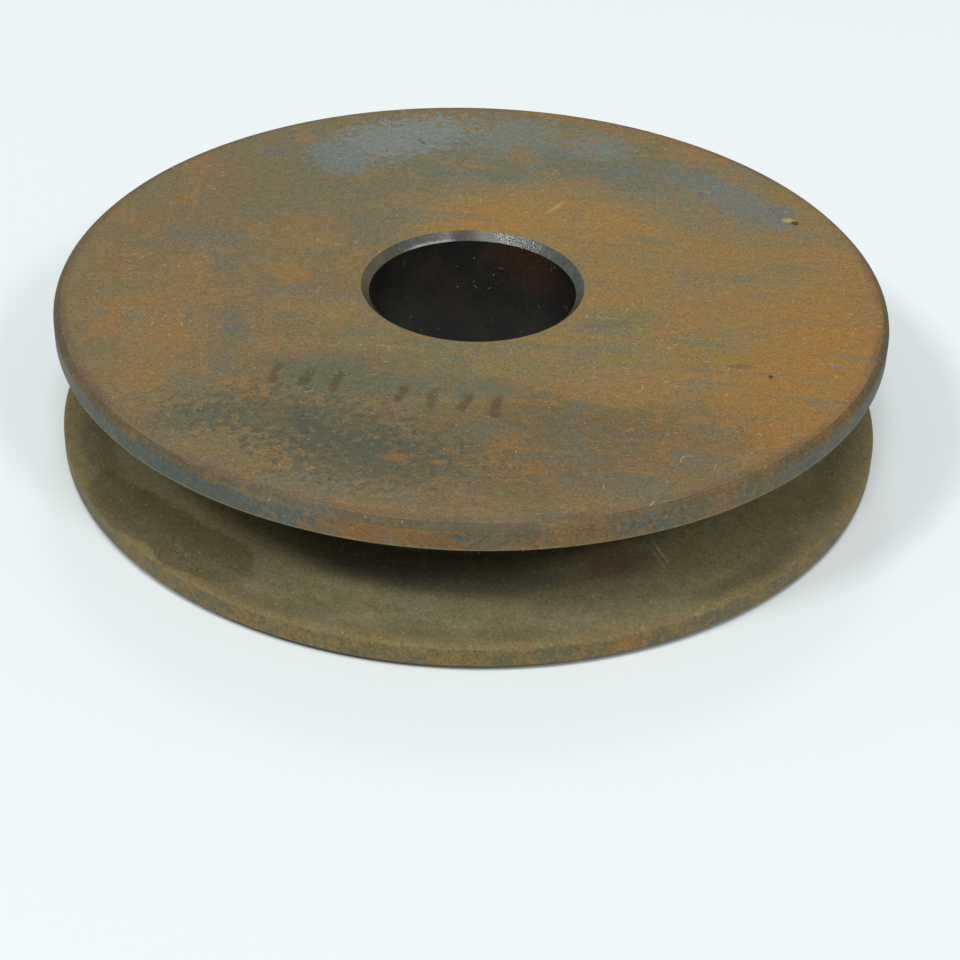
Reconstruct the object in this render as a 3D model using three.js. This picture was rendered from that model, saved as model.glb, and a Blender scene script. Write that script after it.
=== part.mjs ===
// A flat idler pulley for one V belt: a solid steel sheave turned from plate, with a plain
// bearing bush pressed into its bore. The pulley lies on its lower face. Z is the shaft axis,
// z = 0 is the lower face, and the origin is the centre of the bore there. Millimetres.

import * as THREE from "three";

// Sheave
const outerDiameter = 101.6; // over the rim lands
const faceWidth = 19.6; // lower face to upper face
const rimChamfer = 0.85; // 45 degree break between each face and its rim land
const grooveTopWidth = 13.2; // across the groove at the outer diameter
const grooveAngle = 34; // included angle of the V, in degrees
const grooveDepth = 13; // outer diameter down to the flat root
const rootFillet = 1.5; // radius in each corner of the root

// Bush
const shaftDiameter = 25.4; // bore that runs on the shaft
const bushWall = 1.6;
const bushMouthChamfer = 1.0; // 45 degree lead-in at each end of the bore
const bushLeadChamfer = 0.25; // 45 degree break that starts the bush into its seat
const bushSetBack = 0.05; // each end of the bush below the sheave's face
const seatClearance = 0.03; // stands for the press fit, so that the two solids stay separate

// Smoothness of the round surfaces
const turnSegments = 144;
const filletDivisions = 3; // three.js puts twice as many chords in an arc of a path

const outerRadius = outerDiameter / 2;
const bushBoreRadius = shaftDiameter / 2;
const bushOuterRadius = bushBoreRadius + bushWall;
const seatRadius = bushOuterRadius + seatClearance;

// A solid of revolution about Z. The outline runs anticlockwise in the plane of radius and height.
function turned(outline, divisions) {
  return new THREE.LatheGeometry(outline.getPoints(divisions), turnSegments).rotateX(Math.PI / 2);
}

function sheaveGeometry() {
  const middle = faceWidth / 2;
  const halfAngle = THREE.MathUtils.degToRad(grooveAngle / 2);
  const wallSlope = Math.tan(halfAngle);
  const halfMouth = grooveTopWidth / 2;
  const rootRadius = outerRadius - grooveDepth;
  const halfRoot = halfMouth - grooveDepth * wallSlope;

  // The fillet touches the root and the wall, and is never so big that the two fillets meet.
  const tangentShare = Math.tan((Math.PI / 2 - halfAngle) / 2);
  const fillet = Math.min(rootFillet, (0.95 * halfRoot) / tangentShare);
  const filletCentre = halfRoot - fillet * tangentShare; // height above and below the middle
  const wallEnd = Math.PI / 2 + halfAngle; // where the upper fillet meets the wall

  const outline = new THREE.Path();
  outline.moveTo(seatRadius, 0);
  outline.lineTo(outerRadius - rimChamfer, 0);
  outline.lineTo(outerRadius, rimChamfer);
  outline.lineTo(outerRadius, middle - halfMouth);
  outline.absarc(rootRadius + fillet, middle - filletCentre, fillet, -wallEnd, -Math.PI, true);
  outline.absarc(rootRadius + fillet, middle + filletCentre, fillet, Math.PI, wallEnd, true);
  outline.lineTo(outerRadius, middle + halfMouth);
  outline.lineTo(outerRadius, faceWidth - rimChamfer);
  outline.lineTo(outerRadius - rimChamfer, faceWidth);
  outline.lineTo(seatRadius, faceWidth);
  outline.lineTo(seatRadius, 0);
  return turned(outline, filletDivisions);
}

function bushGeometry() {
  const bottom = bushSetBack;
  const top = faceWidth - bushSetBack;

  const outline = new THREE.Path();
  outline.moveTo(bushBoreRadius, bottom + bushMouthChamfer);
  outline.lineTo(bushBoreRadius + bushMouthChamfer, bottom);
  outline.lineTo(bushOuterRadius - bushLeadChamfer, bottom);
  outline.lineTo(bushOuterRadius, bottom + bushLeadChamfer);
  outline.lineTo(bushOuterRadius, top - bushLeadChamfer);
  outline.lineTo(bushOuterRadius - bushLeadChamfer, top);
  outline.lineTo(bushBoreRadius + bushMouthChamfer, top);
  outline.lineTo(bushBoreRadius, top - bushMouthChamfer);
  outline.lineTo(bushBoreRadius, bottom + bushMouthChamfer);
  return turned(outline, filletDivisions);
}

const rustedPlate = new THREE.MeshStandardMaterial({ color: 0x74664a, roughness: 0.75, metalness: 0.35 });
const oiledBushSteel = new THREE.MeshStandardMaterial({ color: 0x4a4640, roughness: 0.45, metalness: 0.8 });

const sheave = new THREE.Mesh(sheaveGeometry(), rustedPlate);
sheave.name = "v_groove_sheave";

const bush = new THREE.Mesh(bushGeometry(), oiledBushSteel);
bush.name = "bore_bush";

const pulley = new THREE.Group();
pulley.add(sheave, bush);

export default pulley;
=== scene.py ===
# %% [markdown]
# # A rusted V belt pulley
#
# The object is a small idler pulley: a disc of hot rolled steel plate, turned at the rim, with one
# V groove for a belt and a plain bush pressed into its bore. Its faces carry a thin brown rust, with
# blue-grey mill scale left in patches, and its groove is dusty. This lesson builds the fine surfaces
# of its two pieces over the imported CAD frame, and then spends most of its time on the finishes.

# %% [markdown]
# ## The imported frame
#
# The CAD model is loaded first and never changed. Its box gives the rim radius and the face width,
# so everything below follows it. The loaded nodes stay as the solids for collisions, and the
# pieces made here stand for them in the picture.

import math

import bpy
import numpy as np
from mathutils import Matrix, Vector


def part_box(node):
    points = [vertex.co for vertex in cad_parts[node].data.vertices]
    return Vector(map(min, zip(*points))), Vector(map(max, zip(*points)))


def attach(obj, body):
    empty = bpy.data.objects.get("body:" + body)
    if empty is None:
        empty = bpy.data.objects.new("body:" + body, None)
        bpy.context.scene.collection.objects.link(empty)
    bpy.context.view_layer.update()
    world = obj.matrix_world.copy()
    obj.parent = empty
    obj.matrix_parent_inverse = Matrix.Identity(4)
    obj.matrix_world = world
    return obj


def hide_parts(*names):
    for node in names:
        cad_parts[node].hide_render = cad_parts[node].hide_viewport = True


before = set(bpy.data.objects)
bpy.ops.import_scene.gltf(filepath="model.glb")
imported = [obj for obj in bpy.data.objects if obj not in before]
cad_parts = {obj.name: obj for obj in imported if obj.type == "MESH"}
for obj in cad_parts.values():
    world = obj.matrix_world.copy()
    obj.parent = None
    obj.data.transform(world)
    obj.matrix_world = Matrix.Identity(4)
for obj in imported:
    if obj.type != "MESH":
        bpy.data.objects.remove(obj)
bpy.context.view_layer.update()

MM = 0.001
_, sheave_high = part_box("v_groove_sheave")
_, bush_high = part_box("bore_bush")
RIM = sheave_high[0]
WIDTH = sheave_high[2]
BUSH = bush_high[0]
RIM_MM = RIM / MM
WIDTH_MM = WIDTH / MM
MIDDLE_MM = WIDTH_MM / 2
# Two sizes of the rim that its finishes need as well as its outline.
RIM_CHAMFER_MM = 0.85
GROOVE_TOP_MM = 13.2
print(f"rim radius {RIM_MM:.1f} mm, face width {WIDTH_MM:.1f} mm, bush radius {BUSH / MM:.1f} mm")

# %% [markdown]
# ## Camera
#
# The picture is taken from a little above one edge of the pulley, from a little over a quarter of a
# metre away. All distances are shares of the rim radius, so the framing follows the object. The
# camera is rolled by a degree or two, as a hand-held one is. A Track To constraint would aim it as
# well, but three axes written as one matrix hold the roll too.

# %% Camera
EYE = (0.0317, -4.7303, 3.0856)  # in rim radii, from the centre of the lower face
TILT_DOWN = math.radians(34.70)
ROLL = math.radians(-1.72)
LENS = 84.29
SENSOR = 36.0


def rolled_axes(tilt, roll):
    """The camera's own right, up and backward axes: it looks along +Y, is tipped down by tilt, and is
    then turned by roll about its line of sight."""
    forward = np.array([0, math.cos(tilt), -math.sin(tilt)])
    right = np.array([1.0, 0, 0])
    up = np.array([0, math.sin(tilt), math.cos(tilt)])
    right_rolled = right * math.cos(roll) - up * math.sin(roll)
    up_rolled = right * math.sin(roll) + up * math.cos(roll)
    return np.stack([right_rolled, up_rolled, -forward], axis=1)


def linked(name, data):
    """A new object in the scene."""
    made = bpy.data.objects.new(name, data)
    scene.collection.objects.link(made)
    return made


def posed(thing, axes, place):
    """Gives a camera or a light its axes, the columns of a 3 by 3 array, and its place."""
    pose = np.eye(4)
    pose[:3, :3] = axes
    pose[:3, 3] = place
    thing.matrix_world = Matrix(pose)


scene = bpy.context.scene
camera_data = bpy.data.cameras.new("camera")
camera_data.lens = LENS
camera_data.sensor_width = SENSOR
camera = linked("camera", camera_data)
eye = np.array(EYE) * RIM
posed(camera, rolled_axes(TILT_DOWN, ROLL), eye)
bpy.context.scene.camera = camera
print("camera at", np.round(eye / MM), "mm")

# %% [markdown]
# ## Light
#
# A large soft panel hangs above the camera, and its shadow falls behind the pulley. Three smaller
# soft boxes stand at the front left, the front right and the back, and each throws its own faint
# shadow. A little even light comes from the walls. All the front lights come from above, so the
# table is pale up to the object's edge, while the groove under the upper flange is deep in shade.
# The boxes stand far off, so they light the table evenly. The plain Standard view keeps the colours
# of the finishes as they are set.

# %% Light
WALLS = (0.975, 0.98, 0.975)
WALLS_STRENGTH = 0.25
BOX_DISTANCE = 3.4
# Each soft box: azimuth and height in degrees, size in metres, and the share of the table's light
# that it gives.
SOFT_BOXES = {
    "front_panel": (-92, 66, 1.40, 0.46),
    "left_box": (-147, 49, 0.60, 0.195),
    "right_box": (-50, 41, 0.60, 0.115),
    "back_box": (90, 52, 0.60, 0.055),
}

scene.view_settings.view_transform = "Standard"
world = bpy.data.worlds.new("light_tent")
world.use_nodes = True
background = world.node_tree.nodes["Background"]
background.inputs["Color"].default_value = (*WALLS, 1)
background.inputs["Strength"].default_value = WALLS_STRENGTH
scene.world = world


def aimed_axes(place, target):
    """Axes of a light at place that shines at target: its own -Z axis points there."""
    back = (place - target) / np.linalg.norm(place - target)
    side = np.cross([0, 0, 1.0], back)
    side = side / np.linalg.norm(side)
    return np.stack([side, np.cross(back, side), back], axis=1)


def soft_box(name, azimuth, height, size, share):
    """A square area light on a sphere round the pulley, aimed at its middle. On a white table it gives
    share = power sin(height) / (pi distance)^2, so its power is share (pi distance)^2 / sin(height)."""
    turn, rise = math.radians(azimuth), math.radians(height)
    flat = math.cos(rise)
    place = BOX_DISTANCE * np.array([flat * math.cos(turn), flat * math.sin(turn), math.sin(rise)])
    data = bpy.data.lights.new(name, "AREA")
    data.shape = "SQUARE"
    data.size = size
    data.energy = share * (math.pi * BOX_DISTANCE) ** 2 / math.sin(rise)
    posed(linked(name, data), aimed_axes(place, np.array([0, 0, WIDTH / 2])), place)
    print(f"{name}: {data.energy:.2f} W")


for name, (azimuth, height, size, share) in SOFT_BOXES.items():
    soft_box(name, azimuth, height, size, share)

# %% [markdown]
# ## Node helpers
#
# Finishes are written as short functions that add nodes to a tree, so that each one reads like a
# recipe. A helper makes one node with its inputs already joined. Patterns are measured in
# millimetres of Object coordinates, which stay with the piece when it is moved or exported.


# %% Node helpers
def linear(red, green, blue):
    """Scene colour of a display colour in 0 to 255: c/12.92 below 0.04, else ((c + 0.055)/1.055)^2.4."""
    shown = np.array([red, green, blue]) / 255
    raised = ((shown + 0.055) / 1.055) ** 2.4
    return (*np.where(shown < 0.04045, shown / 12.92, raised).tolist(), 1.0)


def fill(tree, sockets, values):
    """Joins or sets input sockets, by place or by name."""
    for key, value in values.items():
        if isinstance(value, bpy.types.NodeSocket):
            tree.links.new(value, sockets[key])
        else:
            sockets[key].default_value = value


def add(tree, kind, inputs=(), out=0, **settings):
    """One shader node with its settings and inputs (by place or by name); gives one of its outputs."""
    made = tree.nodes.new("ShaderNode" + kind)
    for key, value in settings.items():
        setattr(made, key, value)
    fill(tree, made.inputs, inputs if isinstance(inputs, dict) else dict(enumerate(inputs)))
    return made.outputs[out]


def maths(tree, operation, *values):
    return add(tree, "Math", values, operation=operation)


def vectors(tree, operation, *values):
    return add(tree, "VectorMath", values, operation=operation)


def product(tree, *values):
    result = values[0]
    for value in values[1:]:
        result = maths(tree, "MULTIPLY", result, value)
    return result


def shaken(tree, value, field, amount):
    """value moved up and down by a noise field: value + amount (field - 1/2)."""
    return maths(tree, "MULTIPLY_ADD", maths(tree, "SUBTRACT", field, 0.5), amount, value)


def between(tree, value, low, high, to_low=0.0, to_high=1.0):
    """Smooth step: to_low where value is low, to_high where it is high."""
    inputs = (value, low, high, to_low, to_high)
    return add(tree, "MapRange", inputs, interpolation_type="SMOOTHSTEP")


def blend(tree, share, under, over):
    """under where share is 0, over where it is 1."""
    return add(tree, "Mix", {0: share, 6: under, 7: over}, out=2, data_type="RGBA")


def tinted(tree, colour, tone, field, low, high, strength=1.0):
    """colour, blended towards tone by up to strength as field goes from low to high."""
    share = product(tree, between(tree, field, low, high), strength)
    return blend(tree, share, colour, linear(*tone))


def noise(tree, place, scale, detail=5.0, rough=0.6, out=0):
    inputs = {"Vector": place, "Scale": scale, "Detail": detail, "Roughness": rough}
    return add(tree, "TexNoise", inputs, out=out)


def resized(tree, place, scale):
    return add(tree, "VectorMath", {0: place, "Scale": scale}, operation="SCALE")


def shifted(tree, place, *shift):
    return vectors(tree, "ADD", place, shift)


def rotated(tree, place, angle):
    return add(tree, "VectorRotate", {"Vector": place, "Angle": angle}, rotation_type="Z_AXIS")


def drawn_out(tree, place, angle, squeeze):
    """The place turned and squeezed unevenly, so that the grains of a noise on it become streaks."""
    return vectors(tree, "MULTIPLY", rotated(tree, place, angle), squeeze)


def three_parts(tree, place):
    parts = tree.nodes.new("ShaderNodeSeparateXYZ")
    tree.links.new(place, parts.inputs[0])
    return parts.outputs[0], parts.outputs[1], parts.outputs[2]


def place_in_mm(tree):
    """Object coordinates in millimetres."""
    return resized(tree, add(tree, "TexCoord", out=3), 1 / MM)


def flat_place(tree, place):
    """The place with its height dropped, for patterns that lie on a face."""
    return vectors(tree, "MULTIPLY", place, (1, 1, 0))


def radius_of(tree, place):
    return add(tree, "VectorMath", (flat_place(tree, place),), out=1, operation="LENGTH")


FROM_FRONT, FROM_BACK = -1, 1


def degrees_round(tree, place, side_of):
    """Degrees round the shaft axis towards +X, from the front (-Y) or from the back (+Y)."""
    x, y, _ = three_parts(tree, place)
    return product(tree, maths(tree, "ARCTAN2", x, product(tree, y, side_of)), 180 / math.pi)


def unrolled(tree, place, side_of, mm_per_degree, up):
    """The place laid flat: millimetres round from the front or the back, and up (a height or radius)."""
    along = product(tree, degrees_round(tree, place, side_of), mm_per_degree)
    return add(tree, "CombineXYZ", (along, up, 0.0))


def material(name):
    """A material with a Principled shader: gives it, its tree, the shader's inputs and the place in mm."""
    made = bpy.data.materials.new(name)
    made.use_nodes = True
    tree = made.node_tree
    return made, tree, tree.nodes["Principled BSDF"].inputs, place_in_mm(tree)


def coated(tree, shader, colour, rough, specular):
    """Sets the shader's colour, roughness and specular level."""
    fill(tree, shader, {"Base Color": colour, "Roughness": rough, "Specular IOR Level": specular})


def grained(tree, shader, height, strength, distance_mm):
    """A fine relief in the shader's normal, from a height that varies over the surface."""
    inputs = {"Strength": strength, "Distance": distance_mm * MM, "Height": height}
    tree.links.new(add(tree, "Bump", inputs), shader["Normal"])


# %% [markdown]
# ## Shared groups
#
# An effect that several finishes use is a node group, built once and placed in each material with
# its own values. Groups give out only colours and masks, and the shader stays in the material.


# %% Making and placing a group
def shared_group(name, inputs, outputs):
    """An empty node group with named sockets, each given by its kind, or a number by its usual value."""
    tree = bpy.data.node_groups.new(name, "ShaderNodeTree")
    for label, kind in inputs.items():
        number = isinstance(kind, float)
        socket_type = "NodeSocketFloat" if number else "NodeSocket" + kind
        socket = tree.interface.new_socket(label, in_out="INPUT", socket_type=socket_type)
        if number:
            socket.default_value = kind
    for label, kind in outputs.items():
        tree.interface.new_socket(label, in_out="OUTPUT", socket_type="NodeSocket" + kind)
    entry = tree.nodes.new("NodeGroupInput")
    leave = tree.nodes.new("NodeGroupOutput")
    print(f"group {name}: {', '.join(inputs)} -> {', '.join(outputs)}")
    return tree, entry.outputs, leave.inputs


def place_group(tree, group, inputs):
    """The group as one node of tree, with this material's own values; gives its first output."""
    made = tree.nodes.new("ShaderNodeGroup")
    made.node_tree = group
    fill(tree, made.inputs, inputs)
    return made.outputs[0]


def laid(tree, group, place, colour, **values):
    """The colour that a group makes of colour, with this material's own values."""
    return place_group(tree, group, {"Place": place, "Colour": colour, **values})


# %% [markdown]
# ### Ragged patches
#
# Rust, mill scale and stains lie in patches with torn edges. An ellipse places the patch, and
# noise tears its edge: a coarse field gives bays and islands, a fine one gives a sandy edge.
# Painting a mask by hand would need an image, and this way every patch is one row of a table.


# %% The ragged patch group
def ragged_patch_group():
    """A patch of rust, scale or stain: an ellipse with its edge torn by a field of fractal noise.
    With reach = |turned place from the centre, over the half sizes|, the level is
    1 - reach + Torn (field - 1/2), and Mask is its smooth step across 0, from -Soft to Soft."""
    inputs = {"Place": "Vector", "Field": 0.5, "Centre": "Vector", "Length": 10.0, "Breadth": 5.0}
    inputs |= {"Turn": 0.0, "Soft": 0.3, "Torn": 1.0}
    tree, given, result = shared_group("ragged_patch", inputs, {"Mask": "Float"})
    local = vectors(tree, "SUBTRACT", given["Place"], given["Centre"])
    turned = rotated(tree, local, product(tree, given["Turn"], -1.0))
    half_sizes = add(tree, "CombineXYZ", (given["Length"], given["Breadth"], 1.0))
    reach = radius_of(tree, vectors(tree, "DIVIDE", turned, half_sizes))
    level = shaken(tree, maths(tree, "SUBTRACT", 1.0, reach), given["Field"], given["Torn"])
    low = product(tree, given["Soft"], -1.0)
    tree.links.new(between(tree, level, low, given["Soft"]), result["Mask"])
    return tree


ragged_patch = ragged_patch_group()


def patched(tree, place, unit, colour, patches, coarse, fine):
    """colour with every patch of a table laid over it, and the mask of bare mill scale. The table's
    centres and half sizes times unit are millimetres of place."""
    bare = 0.0
    for label, centre, half, turn, soft, torn, fineness, strength, tone, *scale_share in patches:
        inputs = {
            "Place": place,
            "Field": maths(tree, "MULTIPLY_ADD", maths(tree, "SUBTRACT", fine, coarse), fineness, coarse),
            "Centre": (centre[0] * unit[0], centre[1] * unit[1], 0),
            "Length": half[0] * unit[0],
            "Breadth": half[1] * unit[1],
            "Turn": math.radians(turn),
            "Soft": soft,
            "Torn": torn,
        }
        mask = place_group(tree, ragged_patch, inputs)
        mask.node.label = label
        colour = blend(tree, product(tree, mask, strength), colour, linear(*tone))
        if scale_share:
            bare = maths(tree, "MAXIMUM", bare, product(tree, mask, scale_share[0]))
    return colour, bare


# %% [markdown]
# ### Rust blooms
#
# Between the large patches thin rust is never one colour: it blooms orange where water sat, and
# stays blue-grey where oil did. Clouds of both come from noise on a place that is itself shaken
# by noise, so their edges curl, and grains of fine noise break them up.


# %% The rust bloom group
def rust_bloom_group():
    """A colour with orange and blue-grey clouds. The place is moved by 8 mm times coloured noise. A
    cloud is the smooth step of broad noise on it, shaken by fine noise; the dots are from noise at a
    middle size. Orange, Haze and Dots are the strengths."""
    inputs = {"Place": "Vector", "Colour": "Color", "Orange": 0.5, "Haze": 0.5, "Dots": 0.5}
    tree, given, result = shared_group("rust_bloom", inputs, {"Colour": "Color"})
    place, colour = given["Place"], given["Colour"]
    warp = vectors(tree, "SUBTRACT", noise(tree, place, 0.2, out=1), (0.5, 0.5, 0.5))
    moved = vectors(tree, "ADD", place, resized(tree, warp, 8.0))
    grain = noise(tree, place, 1.4, rough=0.7)
    orange = shaken(tree, noise(tree, moved, 0.11, detail=8, rough=0.65), grain, 0.35)
    colour = tinted(tree, colour, (150, 108, 56), orange, 0.50, 0.66, given["Orange"])
    haze = noise(tree, shifted(tree, moved, 90, 20, 50), 0.13, detail=8, rough=0.65)
    haze = shaken(tree, haze, grain, -0.35)
    colour = tinted(tree, colour, (96, 106, 98), haze, 0.50, 0.66, given["Haze"])
    dots = noise(tree, shifted(tree, place, 10, 60, 30), 0.42, rough=0.65)
    colour = tinted(tree, colour, (156, 104, 50), dots, 0.58, 0.70, given["Dots"])
    tree.links.new(colour, result["Colour"])
    return tree


rust_bloom = rust_bloom_group()


# %% [markdown]
# ### Grain
#
# Rust is a powder of many browns, so each colour is made lighter and darker in grains of half
# a millimetre and less, in slower clouds, and along the fine lines that rubbing leaves.


# %% The grain group
def grain_group():
    """Uneven colour: a colour times 1 + Depth (broad - 1/2) + 3 Depth (fine - 1/2) + Rubbed (rubbed
    - 1/2), where rubbed is noise on a place squeezed along one turned axis, so that its grains are
    drawn out."""
    inputs = {"Place": "Vector", "Colour": "Color", "Broad": 1.0, "Fine": 2.8, "Depth": 0.6, "Rubbed": 0.2}
    tree, given, result = shared_group("grain", inputs, {"Colour": "Color"})
    gain = shaken(tree, 1.0, noise(tree, given["Place"], given["Broad"]), given["Depth"])
    fine = noise(tree, given["Place"], given["Fine"], detail=3, rough=0.85)
    gain = shaken(tree, gain, fine, product(tree, given["Depth"], 3.0))
    drawn = drawn_out(tree, given["Place"], -0.3, (0.2, 2.2, 2.2))
    gain = shaken(tree, gain, noise(tree, drawn, 1.0), given["Rubbed"])
    tree.links.new(resized(tree, given["Colour"], gain), result["Colour"])
    return tree


grain = grain_group()


# %% [markdown]
# ### Lint and dust
#
# What lies on the steel is small and pale: curled fibres of a rag, a millimetre or two long, and
# dots of dust. Modelled hairs would cost many faces for something so thin, so they are drawn in the
# colour, at most one in each cell of a Voronoi pattern, with a random turn and bend.


# %% Cells
def cells_of(tree, place, spacing):
    """A Voronoi pattern of the first two coordinates of place, with cells about spacing across: gives
    the place from the middle of its cell, and three numbers that are random for each cell."""
    scaled = resized(tree, place, maths(tree, "DIVIDE", 1.0, spacing))
    cells = tree.nodes.new("ShaderNodeTexVoronoi")
    cells.voronoi_dimensions = "2D"
    fill(tree, cells.inputs, {"Vector": scaled, "Scale": 1.0})
    local = vectors(tree, "SUBTRACT", scaled, cells.outputs["Position"])
    chance = tree.nodes.new("ShaderNodeSeparateColor")
    tree.links.new(cells.outputs["Color"], chance.inputs[0])
    return resized(tree, local, spacing), chance.outputs


# %% The lint group
def lint_group():
    """Fibres of lint. The plane is cut into cells, each with a random turn; in a cell's own turned frame a
    fibre is where |y - bend x^2| is under its width and |x| under its length."""
    inputs = {"Place": "Vector", "Spacing": 5.0, "Length": 1.2, "Width": 0.06, "Bend": 1.6, "Share": 0.4}
    tree, given, result = shared_group("lint", inputs, {"Mask": "Float"})
    local, chance = cells_of(tree, given["Place"], given["Spacing"])
    x, y, _ = three_parts(tree, rotated(tree, local, product(tree, chance[0], 2 * math.pi)))
    curl = product(tree, given["Bend"], maths(tree, "SUBTRACT", chance[1], 0.5))
    off = maths(tree, "ABSOLUTE", maths(tree, "SUBTRACT", y, product(tree, x, x, curl)))
    thin = between(tree, off, given["Width"], 0.0)
    reach = product(tree, given["Length"], maths(tree, "ADD", chance[1], 0.15))
    short = maths(tree, "LESS_THAN", maths(tree, "ABSOLUTE", x), reach)
    kept = maths(tree, "LESS_THAN", chance[2], given["Share"])
    tree.links.new(product(tree, thin, short, kept), result["Mask"])
    return tree


lint = lint_group()


# %% The dust group
def dust_group():
    """A colour with pale lint and dots of dust over it: Fibres and Dots are their strengths. A dot lies
    at the middle of some cells of a Voronoi pattern, and fades out at Size from it."""
    inputs = {"Place": "Vector", "Colour": "Color", "Fibres": 0.5, "Dots": 0.5}
    inputs |= {"Spacing": 1.3, "Size": 0.17, "Share": 0.14}
    tree, given, result = shared_group("dust", inputs, {"Colour": "Color"})
    local, chance = cells_of(tree, given["Place"], given["Spacing"])
    round_dot = between(tree, radius_of(tree, local), given["Size"], 0.0)
    kept = maths(tree, "LESS_THAN", chance[0], given["Share"])
    bright = maths(tree, "MULTIPLY_ADD", chance[1], 0.6, 0.4)
    dots = product(tree, round_dot, kept, bright, given["Dots"])
    patchy = between(tree, noise(tree, given["Place"], 0.06, detail=2), 0.42, 0.60, 0.15, 1.0)
    long_lint = {"Spacing": 7.0, "Length": 1.1, "Width": 0.10, "Bend": 2.4, "Share": 0.28}
    long_threads = place_group(tree, lint, {"Place": given["Place"], **long_lint})
    moved = shifted(tree, given["Place"], 30, 9, 4)
    short_lint = {"Spacing": 2.4, "Length": 0.35, "Width": 0.10, "Bend": 1.0, "Share": 0.25}
    short_threads = place_group(tree, lint, {"Place": moved, **short_lint})
    threads = product(tree, maths(tree, "MAXIMUM", long_threads, short_threads), patchy)
    pale = maths(tree, "MAXIMUM", product(tree, threads, given["Fibres"]), dots)
    tree.links.new(blend(tree, pale, given["Colour"], linear(188, 182, 158)), result["Colour"])
    return tree


dust = dust_group()


# %% [markdown]
# ### Tool lines
#
# The rim, the chamfers, the groove and the bore were cut on a lathe, which leaves fine rings round
# the axis. They are noise that changes fast across the rings and hardly at all along them.


# %% The tool line group
def tool_line_group():
    """Fine rings round the axis: noise at (Pitch radius, Pitch height, slow turn)."""
    tree, given, result = shared_group("tool_lines", {"Place": "Vector", "Pitch": 3.0}, {"Value": "Float"})
    slow = product(tree, degrees_round(tree, given["Place"], FROM_FRONT), 0.02)
    across = product(tree, radius_of(tree, given["Place"]), given["Pitch"])
    _, _, z = three_parts(tree, given["Place"])
    rings = add(tree, "CombineXYZ", (across, product(tree, z, given["Pitch"]), slow))
    tree.links.new(noise(tree, rings, 1.0, detail=3, rough=0.6), result["Value"])
    return tree


tool_lines = tool_line_group()

# %% [markdown]
# ## Finish of the faces
#
# Hot rolled plate comes with a hard blue-grey skin, the mill scale. Most of it has gone, and thin
# rust has taken its place: olive brown on the left, warmer on the right and behind the bore. What
# is left of the scale lies near the back edge, and a dark pitted area lies at the front. The broad
# rust comes from one table, the scale and the small marks on it from another, and the blooms, the
# streaks and the grain fill in between them.

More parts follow.
